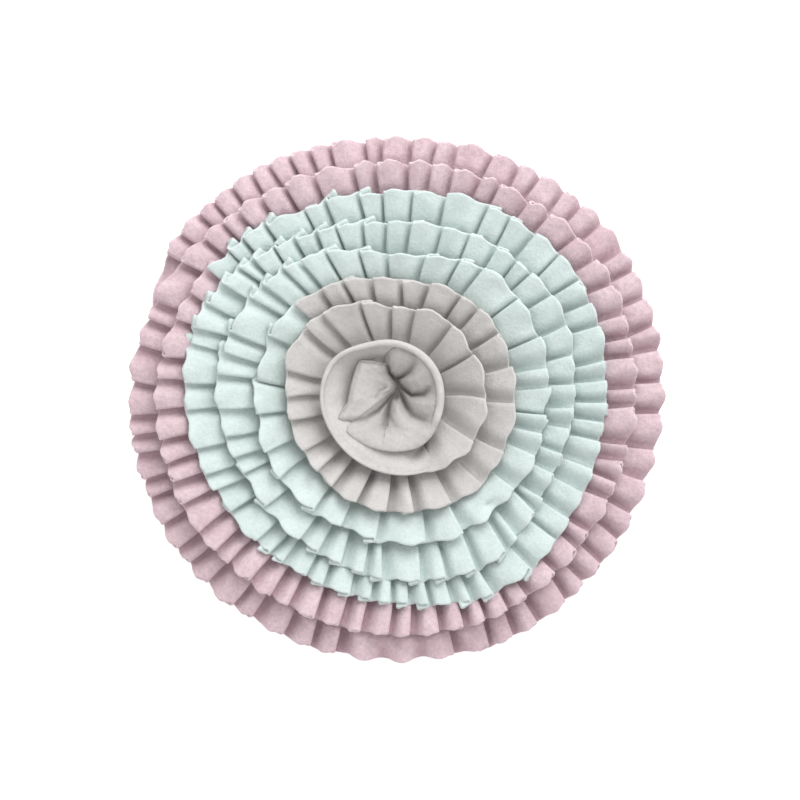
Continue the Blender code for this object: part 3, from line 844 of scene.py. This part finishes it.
HEART_SIDES = 360
HEART_RINGS = 96
HEART_GAP = 0.1
HEART_MIDDLE = (0.0, 9.0)
HEART_WALL = (0.0, 0.35, 0.7, 0.9)
HEART_INSET = 0.8
EDGE_TRIES = 14
NEAREST_EDGE = 25.0
HEART_CLOSING = 0.85
HEART_OVER_FROM = 112.0
HEART_OVER_EASE = 40.0
HEART_WRAP_TO = 262.0
HEART_LEVELS = (
    # clock angle, height at which the gathered cloth meets the roll, how far it swells up from there
    (0, 36, 1.8),
    (45, 37, 1.8),
    (90, 37, 2),
    (125, 35.5, 3),
    (150, 34.5, 3.2),
    (200, 33.5, 3.2),
    (250, 33.5, 3.2),
    (290, 31, 3),
    (330, 31, 3.4),
    (360, 36, 1.8),
)
HEART_SHOULDER = 5.5
HEART_BOWL = 17.0
HEART_BOWL_CURVE = 1.2
# painted shade on the gathered cloth: full in creases this deep, and an even painted shade over all of it,
# deep in the roll
HEART_FULL_SHADE_DEPTH = 16.0
HEART_SHADE_POWER = 1.5
HEART_SHADE = 0.14
HEART_LEAST = 9.0
HEART_LEAST_EASE = 2.5
SHARP_CREASE = 0.75
SOFT_CREASE = 2.8
SOFT_DEPTH = 0.55
CREASES = (
    # name, depth, fading outward, width on its left and right, then points in mm from its deep end outward
    ("up", 19, 0.7, 2.6, 2.4, ((-0.5, 15), (-6.5, 22), (-8.3, 30), (-8, 44))),
    ("top_lobe", 17, 0.8, 4.4, 2.2, ((0.5, 17), (4.7, 18.4), (11.2, 23), (15.1, 29.5), (15.8, 36))),
    ("right", 18, 0.45, 3.6, 2.4, ((0.5, 13), (4.7, 8.6), (12.5, 2.6), (22.9, 3.4), (26.5, 6.4))),
    ("down_right", 18, 0.5, 4.4, 2.2, ((0, 7), (3.4, 2.1), (8, -8), (13, -14.5), (22, -18.5))),
    ("down", 19, 0.45, 2, 3.6, ((-0.5, 4), (-5.6, -1.5), (-7.6, -12), (-9.4, -23))),
    ("dent", 8, 0.7, 4.4, 6.5, ((-7, -15), (-4, -22.5), (3, -28))),
    ("down_left", 15, 0.7, 1.8, 3, ((-4, 2), (-16.1, -10.9), (-26.5, -17.4), (-42.5, -20.4))),
    ("nub", 4.5, 0.3, 2, 2.2, ((-9.5, 9), (-14.5, 6), (-16.6, 1), (-13.5, -3.2))),
    ("hole", 16, 0, 1.9, 1.9, ((0.2, 15.5), (1.4, 9), (-0.6, 1))),
)
UP_CREASE = CREASES[0][-1]
CREASE_JOIN = 2.5
CREASE_WIDENS = (0.55, 1.2)
POCKET_CREASES = 0.6
FLAP_EDGE = (
    # points, and how far the cloth drops beyond the flap there
    ((-8.5, 28), 10),
    ((-20.5, 30.5), 11),
    ((-30.5, 31.5), 13),
    ((-33.5, 27), 15),
    ((-38.3, 9.9), 16),
    ((-40.9, -4.4), 14),
    ((-47.6, -13.5), 6),
    ((-49.5, -19), 0),
)
FLAP_LIP = 2.6
FLAP_SLOPE = 0.2
FLAP_SOFT = 3.2
FLAP_ROLL = 0.2
POCKET_SIDE = 3.0


def soft_step(values):
    """As smooth, for an array."""
    clipped = np.clip(values, 0.0, 1.0)
    return clipped * clipped * (3.0 - 2.0 * clipped)


def inside_roll(clock, height):
    """Radius just inside the roll at a clock angle and height, from its innermost turn there."""
    radii = []
    for angle in (clock + ROLL_ZERO - 360.0, clock + ROLL_ZERO):
        if PLEATS_END <= angle <= ROLL_END:
            face = roll_section(angle)[2]
            radii.append(float(np.interp(height, face[:, 1], face[:, 0])))
    return min(radii) - HEART_GAP


def heart_outline(clock, height):
    """Radius of the gathered cloth's edge: inside the roll, and over its end where that dives under."""
    inside = inside_roll(clock, height)
    if not HEART_OVER_FROM < clock < HEART_WRAP_TO:
        return inside
    over = rise(clock, HEART_OVER_FROM, HEART_OVER_EASE)
    if clock <= ROLL_END - ROLL_ZERO:
        return mix(inside, edge_radius(clock + ROLL_ZERO), over)
    return min(inside, mix(inside_roll(ROLL_END - ROLL_ZERO, height), edge_radius(clock + ROLL_ZERO), over))


def from_line(x, y, points):
    """Distance from points to a line, the share along it, and 1 on its left side or -1 on its right."""
    gap = np.full(np.shape(x), np.inf)
    along, side = np.zeros(np.shape(x)), np.ones(np.shape(x))
    for i, ((ax, ay), (bx, by)) in enumerate(zip(points, points[1:])):
        dx, dy = bx - ax, by - ay
        share = np.clip(((x - ax) * dx + (y - ay) * dy) / (dx * dx + dy * dy), 0.0, 1.0)
        away = np.hypot(x - ax - dx * share, y - ay - dy * share)
        nearer = away < gap
        gap = np.where(nearer, away, gap)
        along = np.where(nearer, (i + share) / (len(points) - 1), along)
        side = np.where(nearer, np.where(dx * (y - ay) - dy * (x - ax) >= 0.0, 1.0, -1.0), side)
    return gap, along, side


def heart_creases(x, y):
    """How deep the creases cut at points of the gathered cloth, joined smoothly where they meet."""
    creased = np.zeros(np.shape(x))
    for _, depth, fading, left, right, points in CREASES:
        gap, along, side = from_line(x, y, points)
        half = np.where(side > 0.0, left, right) * mix(*CREASE_WIDENS, along)
        sharp = np.exp(-((gap / (SHARP_CREASE * half)) ** 2))
        soft = np.exp(-((gap / (SOFT_CREASE * half)) ** 2))
        creased = creased + (depth * (1.0 - fading * along) * mix(sharp, soft, SOFT_DEPTH)) ** CREASE_JOIN
    return creased ** (1.0 / CREASE_JOIN)


def heart_height(x, y, level, swell, share):
    """Top of the gathered cloth; share is 0 in the middle and 1 at the roll."""
    flap_gap, flap_along, flap_side = from_line(x, y, [point for point, _ in FLAP_EDGE])
    drops = [drop for _, drop in FLAP_EDGE]
    drop = np.interp(flap_along * (len(drops) - 1), range(len(drops)), drops)
    up_gap, _, up_side = from_line(x, y, UP_CREASE)
    pocket = np.where((flap_side < 0.0) & (up_side > 0.0), soft_step(up_gap / POCKET_SIDE), 0.0)
    fallen = pocket * soft_step(flap_gap / FLAP_LIP)
    inward = 1.0 - share
    bent = 1.0 - np.minimum(1.0, HEART_SHOULDER * inward)
    swollen = swell * np.sqrt(1.0 - bent * bent) * (1.0 - fallen)
    height = level + swollen - HEART_BOWL * inward**HEART_BOWL_CURVE
    height = height - heart_creases(x, y) * (1.0 - POCKET_CREASES * fallen)
    rolled = np.where(flap_side > 0.0, FLAP_ROLL * drop * np.exp(-((flap_gap / FLAP_SOFT) ** 2)), 0.0)
    height = height - rolled - fallen * (drop + FLAP_SLOPE * flap_gap)
    return HEART_LEAST + HEART_LEAST_EASE * np.logaddexp(0.0, (height - HEART_LEAST) / HEART_LEAST_EASE)


CLOCKS, LEVELS, SWELLS = zip(*HEART_LEVELS)


def heart_edge(clock):
    """Where the gathered cloth meets the roll: the roll narrows as it goes down."""
    level, swell = (float(np.interp(clock, CLOCKS, values)) for values in (LEVELS, SWELLS))
    east, north = math.sin(math.radians(clock)), math.cos(math.radians(clock))
    near, far = NEAREST_EDGE, heart_outline(clock, level)
    for _ in range(EDGE_TRIES):
        radius = 0.5 * (near + far)
        height = float(heart_height(radius * east, radius * north, level, swell, 1.0))
        if heart_outline(clock, height) > radius:
            near = radius
        else:
            far = radius
    return near * east, near * north, level, swell, height


def make_heart(material):
    floor = BACKING_THICK + CLEAR
    clocks = [360.0 * i / HEART_SIDES for i in range(HEART_SIDES)]
    edges = np.array([heart_edge(clock) for clock in clocks])
    points = [place(0.0, 0.0, floor)]
    pressed = [0.0] * (1 + len(HEART_WALL) * HEART_SIDES)
    for share in HEART_WALL:
        for clock, (*_, top) in zip(clocks, edges):
            height = mix(floor, top, share)
            radius = min(inside_roll(clock, height), heart_outline(clock, height))
            points.append(place(radius - HEART_INSET, clock, height))
    for step in range(HEART_RINGS):
        share = (1.0 - step / HEART_RINGS) ** HEART_CLOSING
        x, y = mix(HEART_MIDDLE[0], edges[:, 0], share), mix(HEART_MIDDLE[1], edges[:, 1], share)
        for spot in zip(x, y, heart_height(x, y, edges[:, 2], edges[:, 3], share)):
            point = metres(*spot)
            points.append((point[0], point[1], point[2] + dent(point)))
        # painted shade in the creases, plus an even painted shade over the whole middle
        deep = np.clip(heart_creases(x, y) / HEART_FULL_SHADE_DEPTH, 0.0, 1.0)
        pressed.extend(deep**HEART_SHADE_POWER + HEART_SHADE)
    x, y = HEART_MIDDLE
    points.append(metres(x, y, float(heart_height(x, y, edges[:, 2].mean(), edges[:, 3].mean(), 0.0))))
    rings = HEART_RINGS + len(HEART_WALL)
    faces = ring_faces(rings, HEART_SIDES, first=1)
    faces.extend(fan_faces(HEART_SIDES, 1, 0))
    faces.extend(fan_faces(HEART_SIDES, 1 + (rings - 1) * HEART_SIDES, len(points) - 1))
    piece = solid_piece("grey_gathered_heart", points, faces, material)
    # the middle point takes the full painted shade
    point_values(piece, "pressed", np.array([*pressed, 1.0]))
    return piece


# ---- the backing

BACKING_SIDES = 180
BACKING_LIFT = 0.4
BACKING_PROFILE = (
    # inset from the rim, height as a share of the thickness
    (0.35, 0.0), (0.05, 0.2), (0.0, 0.5), (0.05, 0.8), (0.35, 1.0),
    (20.0, 1.0), (60.0, 1.0), (110.0, 1.0), (160.0, 1.0),
)


def make_backing(material):
    """Round cut of felt: a flat disc with a slightly soft cut rim."""
    clocks = [360.0 * i / BACKING_SIDES for i in range(BACKING_SIDES)]
    points = []
    for inset, share in BACKING_PROFILE:
        height = mix(BACKING_LIFT, BACKING_THICK, share)
        points.extend(place(BACKING_RADIUS - inset, clock, height) for clock in clocks)
    points.append(place(0.0, 0.0, BACKING_THICK))
    points.append(place(0.0, 0.0, BACKING_LIFT))
    faces = ring_faces(len(BACKING_PROFILE), BACKING_SIDES)
    faces.extend(fan_faces(BACKING_SIDES, len(points) - 2 - BACKING_SIDES, len(points) - 2))
    faces.extend(fan_faces(BACKING_SIDES, 0, len(points) - 1))
    return solid_piece("felt_backing", points, faces, material)


# ---- nodes and colours


def linear(code):
    """An sRGB hex colour as linear red, green and blue."""
    values = []
    for start in (0, 2, 4):
        value = int(code[start : start + 2], 16) / 255.0
        values.append(value / 12.92 if value <= 0.04045 else ((value + 0.055) / 1.055) ** 2.4)
    return (*values, 1.0)


def set_values(node, values):
    for socket, value in values.items():
        node.inputs[socket].default_value = value


def add(tree, kind, settings=(), values=(), links=()):
    """Adds a node with its settings, socket values and incoming links."""
    made = tree.nodes.new(kind)
    for key, value in dict(settings).items():
        setattr(made, key, value)
    set_values(made, dict(values))
    for key, source in dict(links).items():
        tree.links.new(source, made.inputs[key])
    return made


# ---- the stitches under the backing

STITCH_PITCH = 4.2
STITCH_LENGTH = 3.2
STITCH_THREAD = 0.55
STITCH_HEIGHT = 0.31
STITCH_SEGMENTS = 6
STITCH_RINGS = 5
STITCH_SCATTER = 0.12
SEAM_STEP = 3.0
SEAM_INSIDE = 1.5


def stitch_tree():
    """Geometry nodes: one thread stitch at even steps along a seam line, slightly uneven in length."""
    tree = bpy.data.node_groups.new("seam_stitches", "GeometryNodeTree")
    sockets = {}
    for label, kind in (
        ("Seam", "Geometry"), ("Pitch", "Float"), ("Length", "Float"), ("Thread", "Float"),
        ("Scatter", "Float"), ("Seed", "Int"), ("Material", "Material"),
    ):
        socket = tree.interface.new_socket(label, in_out="INPUT", socket_type="NodeSocket" + kind)
        sockets[label] = socket.identifier
    tree.interface.new_socket("Stitches", in_out="OUTPUT", socket_type="NodeSocketGeometry")
    given = add(tree, "NodeGroupInput").outputs
    points = add(
        tree, "GeometryNodeCurveToPoints", settings={"mode": "LENGTH"},
        links={"Curve": given["Seam"], "Length": given["Pitch"]},
    ).outputs
    turned = add(
        tree, "FunctionNodeAlignRotationToVector",
        settings={"axis": "X"}, links={"Vector": points["Tangent"]},
    ).outputs["Rotation"]
    size = add(
        tree, "ShaderNodeCombineXYZ",
        links={"X": given["Length"], "Y": given["Thread"], "Z": given["Thread"]},
    ).outputs["Vector"]
    least, most = (
        add(
            tree, "ShaderNodeMath", settings={"operation": operation},
            values={0: 1.0}, links={1: given["Scatter"]},
        ).outputs["Value"]
        for operation in ("SUBTRACT", "ADD")
    )
    # of this node's sockets, 2 and 3 are the float least and most, and 1 is the float result
    uneven = add(
        tree, "FunctionNodeRandomValue", settings={"data_type": "FLOAT"},
        links={2: least, 3: most, "Seed": given["Seed"]},
    ).outputs[1]
    scaled = add(
        tree, "ShaderNodeVectorMath",
        settings={"operation": "SCALE"}, links={"Vector": size, "Scale": uneven},
    ).outputs["Vector"]
    stitch = add(
        tree, "GeometryNodeMeshUVSphere",
        values={"Segments": STITCH_SEGMENTS, "Rings": STITCH_RINGS, "Radius": 0.5},
    ).outputs["Mesh"]
    placed = add(
        tree, "GeometryNodeInstanceOnPoints",
        links={"Points": points["Points"], "Instance": stitch, "Rotation": turned, "Scale": scaled},
    ).outputs["Instances"]
    real = add(tree, "GeometryNodeRealizeInstances", links={"Geometry": placed}).outputs["Geometry"]
    soft = add(tree, "GeometryNodeSetShadeSmooth", links={"Geometry": real}).outputs["Geometry"]
    finished = add(
        tree, "GeometryNodeSetMaterial", links={"Geometry": soft, "Material": given["Material"]},
    ).outputs["Geometry"]
    add(tree, "NodeGroupOutput", links={"Stitches": finished})
    return tree, sockets


def make_stitches(material):
    """Thread stitches on the underside, along the seam of the whole spiral."""
    count = round((ROLL_END - SPIRAL_START) / SEAM_STEP)
    seam = bpy.data.curves.new("seam_line", "CURVE")
    seam.dimensions = "3D"
    spline = seam.splines.new("POLY")
    spline.points.add(count)
    for i, point in enumerate(spline.points):
        angle = mix(SPIRAL_START, ROLL_END, i / count)
        point.co = (*place(seam_radius(angle) - SEAM_INSIDE, angle, STITCH_HEIGHT), 1.0)
    line = put("seam_line", seam)
    tree, sockets = stitch_tree()
    modifier = line.modifiers.new("stitches", "NODES")
    modifier.node_group = tree
    for label, value in (
        ("Pitch", STITCH_PITCH * MM), ("Length", STITCH_LENGTH * MM), ("Thread", STITCH_THREAD * MM),
        ("Scatter", STITCH_SCATTER), ("Seed", SEED), ("Material", material),
    ):
        modifier[sockets[label]] = value
    made = line.evaluated_get(bpy.context.evaluated_depsgraph_get())
    mesh = bpy.data.meshes.new_from_object(made)
    mesh.name = "seam_stitches"
    line.modifiers.remove(modifier)
    bpy.data.objects.remove(line)
    return put("seam_stitches", mesh)


# ---- materials

DRIFT_SIZE = 24.0
CLUMP_NAPS = 2.6
NOISE_SPAN = {"From Min": 0.3, "From Max": 0.7}
NAP_MOTTLE = 0.8
MOTTLE_UP = 0.6
NAP_RELIEF = 0.7
THREAD_TWIST = 0.16
THREAD_RELIEF = 0.08


def start_material(name):
    """A new material, its node tree, its shader, and the object coordinates that its patterns read."""
    made = bpy.data.materials.new(name)
    made.use_nodes = True
    tree = made.node_tree
    spot = add(tree, "ShaderNodeTexCoord").outputs["Object"]
    return made, tree, tree.nodes["Principled BSDF"], spot


def fleece(name, shade, light, edge_highlight, crevice_shade, nap_mm, mottle):
    """Brushed polar fleece: knitted polyester whose surface is brushed into a short nap.

    It is matt with a soft sheen, its shade drifts a little over centimetres, and the nap clumps at about a
    millimetre, drawn a little coarser than it is so that it shows. The cut edge is painted paler, a painted
    highlight for the light its rounded edge catches, and painted shade darkens the colour in creases and
    crevices.
    """
    made, tree, shader, spot = start_material(name)
    patterns = []
    sizes = ((DRIFT_SIZE, 2.0, 0.5), (CLUMP_NAPS * nap_mm, 3.0, 0.6), (nap_mm, 3.0, 0.7))
    for size_mm, detail, roughness in sizes:
        values = {"Scale": 1 / (size_mm * MM), "Detail": detail, "Roughness": roughness}
        patterns.append(add(tree, "ShaderNodeTexNoise", values=values, links={"Vector": spot}).outputs["Fac"])
    drift, clump, nap = patterns
    drifted = add(tree, "ShaderNodeMapRange", values=NOISE_SPAN, links={"Value": drift}).outputs["Result"]
    shade_now = add(
        tree, "ShaderNodeMix", settings={"data_type": "RGBA"},
        values={"A": linear(shade), "B": linear(light)}, links={"Factor": drifted},
    ).outputs["Result"]
    for pattern, share in ((clump, mottle), (nap, NAP_MOTTLE * mottle)):
        spread = add(
            tree, "ShaderNodeMapRange",
            values={**NOISE_SPAN, "To Min": 1.0 - share, "To Max": 1.0 + MOTTLE_UP * share},
            links={"Value": pattern},
        ).outputs["Result"]
        shade_now = add(
            tree, "ShaderNodeMix", settings={"data_type": "RGBA", "blend_type": "MULTIPLY"},
            values={"Factor": 1.0}, links={"A": shade_now, "B": spread},
        ).outputs["Result"]
    # painted highlight along the cut edge, and painted shade in creases and crevices
    for attribute, colour in (("edge", edge_highlight), ("pressed", crevice_shade)):
        share = add(tree, "ShaderNodeAttribute", settings={"attribute_name": attribute}).outputs["Fac"]
        shade_now = add(
            tree, "ShaderNodeMix", settings={"data_type": "RGBA"},
            values={"B": linear(colour)}, links={"Factor": share, "A": shade_now},
        ).outputs["Result"]
    tree.links.new(shade_now, shader.inputs["Base Color"])
    raised = add(tree, "ShaderNodeMath", settings={"operation": "ADD"}, links={0: nap, 1: clump})
    bump = add(
        tree, "ShaderNodeBump", values={"Strength": 0.9, "Distance": NAP_RELIEF * MM},
        links={"Height": raised.outputs["Value"]},
    )
    tree.links.new(bump.outputs["Normal"], shader.inputs["Normal"])
    set_values(shader, {"Roughness": 0.95, "IOR": 1.45, "Specular IOR Level": 0.15})
    set_values(shader, {"Sheen Weight": 0.25, "Sheen Roughness": 0.45, "Sheen Tint": linear("FFFFFF")})
    return made


# name, shade, lighter shade, painted highlight of the cut edge, painted shade of the crevices, size of the
# nap in millimetres, mottle
PINK = fleece("brushed_fleece_dusty_pink", "D6BBC3", "E1CAD0", "E9D8DD", "9C7482", 1.4, 0.13)
MINT = fleece("brushed_fleece_pale_mint", "D1DFDC", "DBE8E5", "E3ECEA", "A3B6B2", 1.2, 0.07)
GREY = fleece("brushed_fleece_warm_grey", "CBC8C6", "D5D2D0", "DCD9D7", "7E7A78", 1.2, 0.07)
# needled felt has the same matt face of loose fibres, only shorter and more even
FELT = fleece("needled_felt_off_white", "D2D0CC", "DDDBD7", "E3E1DD", "A8A5A0", 1.1, 0.05)


def thread(name, shade, light):
    """Spun polyester sewing thread: two plies twisted together, matt, a shade paler than the felt.

    The waves' scale follows the thread's thickness, so that most stitches show a turn or two of the plies.
    """
    made, tree, shader, spot = start_material(name)
    scale = THREAD_TWIST / (STITCH_THREAD * MM)
    plies = add(
        tree, "ShaderNodeTexWave", settings={"bands_direction": "DIAGONAL"},
        values={"Scale": scale, "Distortion": 1.5, "Detail": 1.0}, links={"Vector": spot},
    ).outputs["Fac"]
    shaded = add(
        tree, "ShaderNodeMix", settings={"data_type": "RGBA"},
        values={"A": linear(shade), "B": linear(light)}, links={"Factor": plies},
    ).outputs["Result"]
    tree.links.new(shaded, shader.inputs["Base Color"])
    relief = {"Strength": 0.6, "Distance": THREAD_RELIEF * MM}
    bump = add(tree, "ShaderNodeBump", values=relief, links={"Height": plies})
    tree.links.new(bump.outputs["Normal"], shader.inputs["Normal"])
    set_values(shader, {"Roughness": 0.7, "Sheen Weight": 0.15})
    return made


THREAD = thread("spun_polyester_thread", "C9C6C1", "EDEBE7")
CLOTHS = {"pink": (PINK, "pink_fleece"), "mint": (MINT, "mint_fleece"), "grey": (GREY, "grey_fleece")}

# ---- the pleated strips

folds = pleat_folds()
leaning = leans(folds)
characters = fold_characters(folds)
rows_at = {share: row_folds(folds, leaning, share) for share in SHARES}
cuts = [folds.index(cut) for _, cut in STRIPS] + [len(folds) - 1]
for (node, _), first, last in zip(STRIPS, cuts, cuts[1:]):
    material, slot = CLOTHS[node.split("_")[0]]
    piece, width, length = make_strip(node, folds, rows_at, characters, first, last, material)
    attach(piece, "root")
    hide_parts(node)

roll = make_roll(GREY)
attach(roll, "root")
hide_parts("grey_roll")

heart = make_heart(GREY)
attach(heart, "root")
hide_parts("grey_heart")

backing = make_backing(FELT)
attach(backing, "root")
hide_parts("backing")
stitches = make_stitches(THREAD)
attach(stitches, "root")

# ---- floor, light and camera, in metres

FLOOR_HALF = 4
FLOOR_GLOW = 0.45
IMAGE_WIDTH = 0.68
IMAGE_MIDDLE = (0.00255, -0.0013)
CAMERA_HEIGHT = 1.9
SENSOR = 36.0
MAT_LEVEL = 0.02
WINDOW_PLACE = (0.55, 1.4, 1.3)
WINDOW_SIZE = 1.6
WINDOW_POWER = 30.0
ROOM_LIGHT = 0.8

# a pale acrylic table, lit a little from inside, so that no shadow shows around the mat
pale = bpy.data.materials.new("lit_white_acrylic_table")
pale.use_nodes = True
shader = pale.node_tree.nodes["Principled BSDF"]
set_values(shader, {"Base Color": linear("F7F7F7"), "Roughness": 0.9})
set_values(shader, {"Emission Color": linear("FFFFFF"), "Emission Strength": FLOOR_GLOW})
floor_mesh = bpy.data.meshes.new("floor")
corners = [(x * FLOOR_HALF, y * FLOOR_HALF, 0) for x, y in ((-1, -1), (1, -1), (1, 1), (-1, 1))]
floor_mesh.from_pydata(corners, [], [(0, 1, 2, 3)])
floor_mesh.materials.append(pale)
put("floor", floor_mesh)

camera_data = bpy.data.cameras.new("camera")
camera_data.sensor_width = SENSOR
camera_data.lens = SENSOR * (CAMERA_HEIGHT - MAT_LEVEL) / IMAGE_WIDTH
camera = put("camera", camera_data)
camera.location = (*IMAGE_MIDDLE, CAMERA_HEIGHT)
bpy.context.scene.camera = camera

window = bpy.data.lights.new("window", "AREA")
window.size = WINDOW_SIZE
window.energy = WINDOW_POWER
lamp = put("window", window)
lamp.location = WINDOW_PLACE
lamp.rotation_euler = (-Vector(WINDOW_PLACE)).to_track_quat("-Z", "Y").to_euler()
world = bpy.data.worlds.new("studio")
world.use_nodes = True
set_values(world.node_tree.nodes["Background"], {"Color": linear("FFFFFF"), "Strength": ROOM_LIGHT})
bpy.context.scene.world = world
bpy.context.scene.view_settings.view_transform = "Standard"
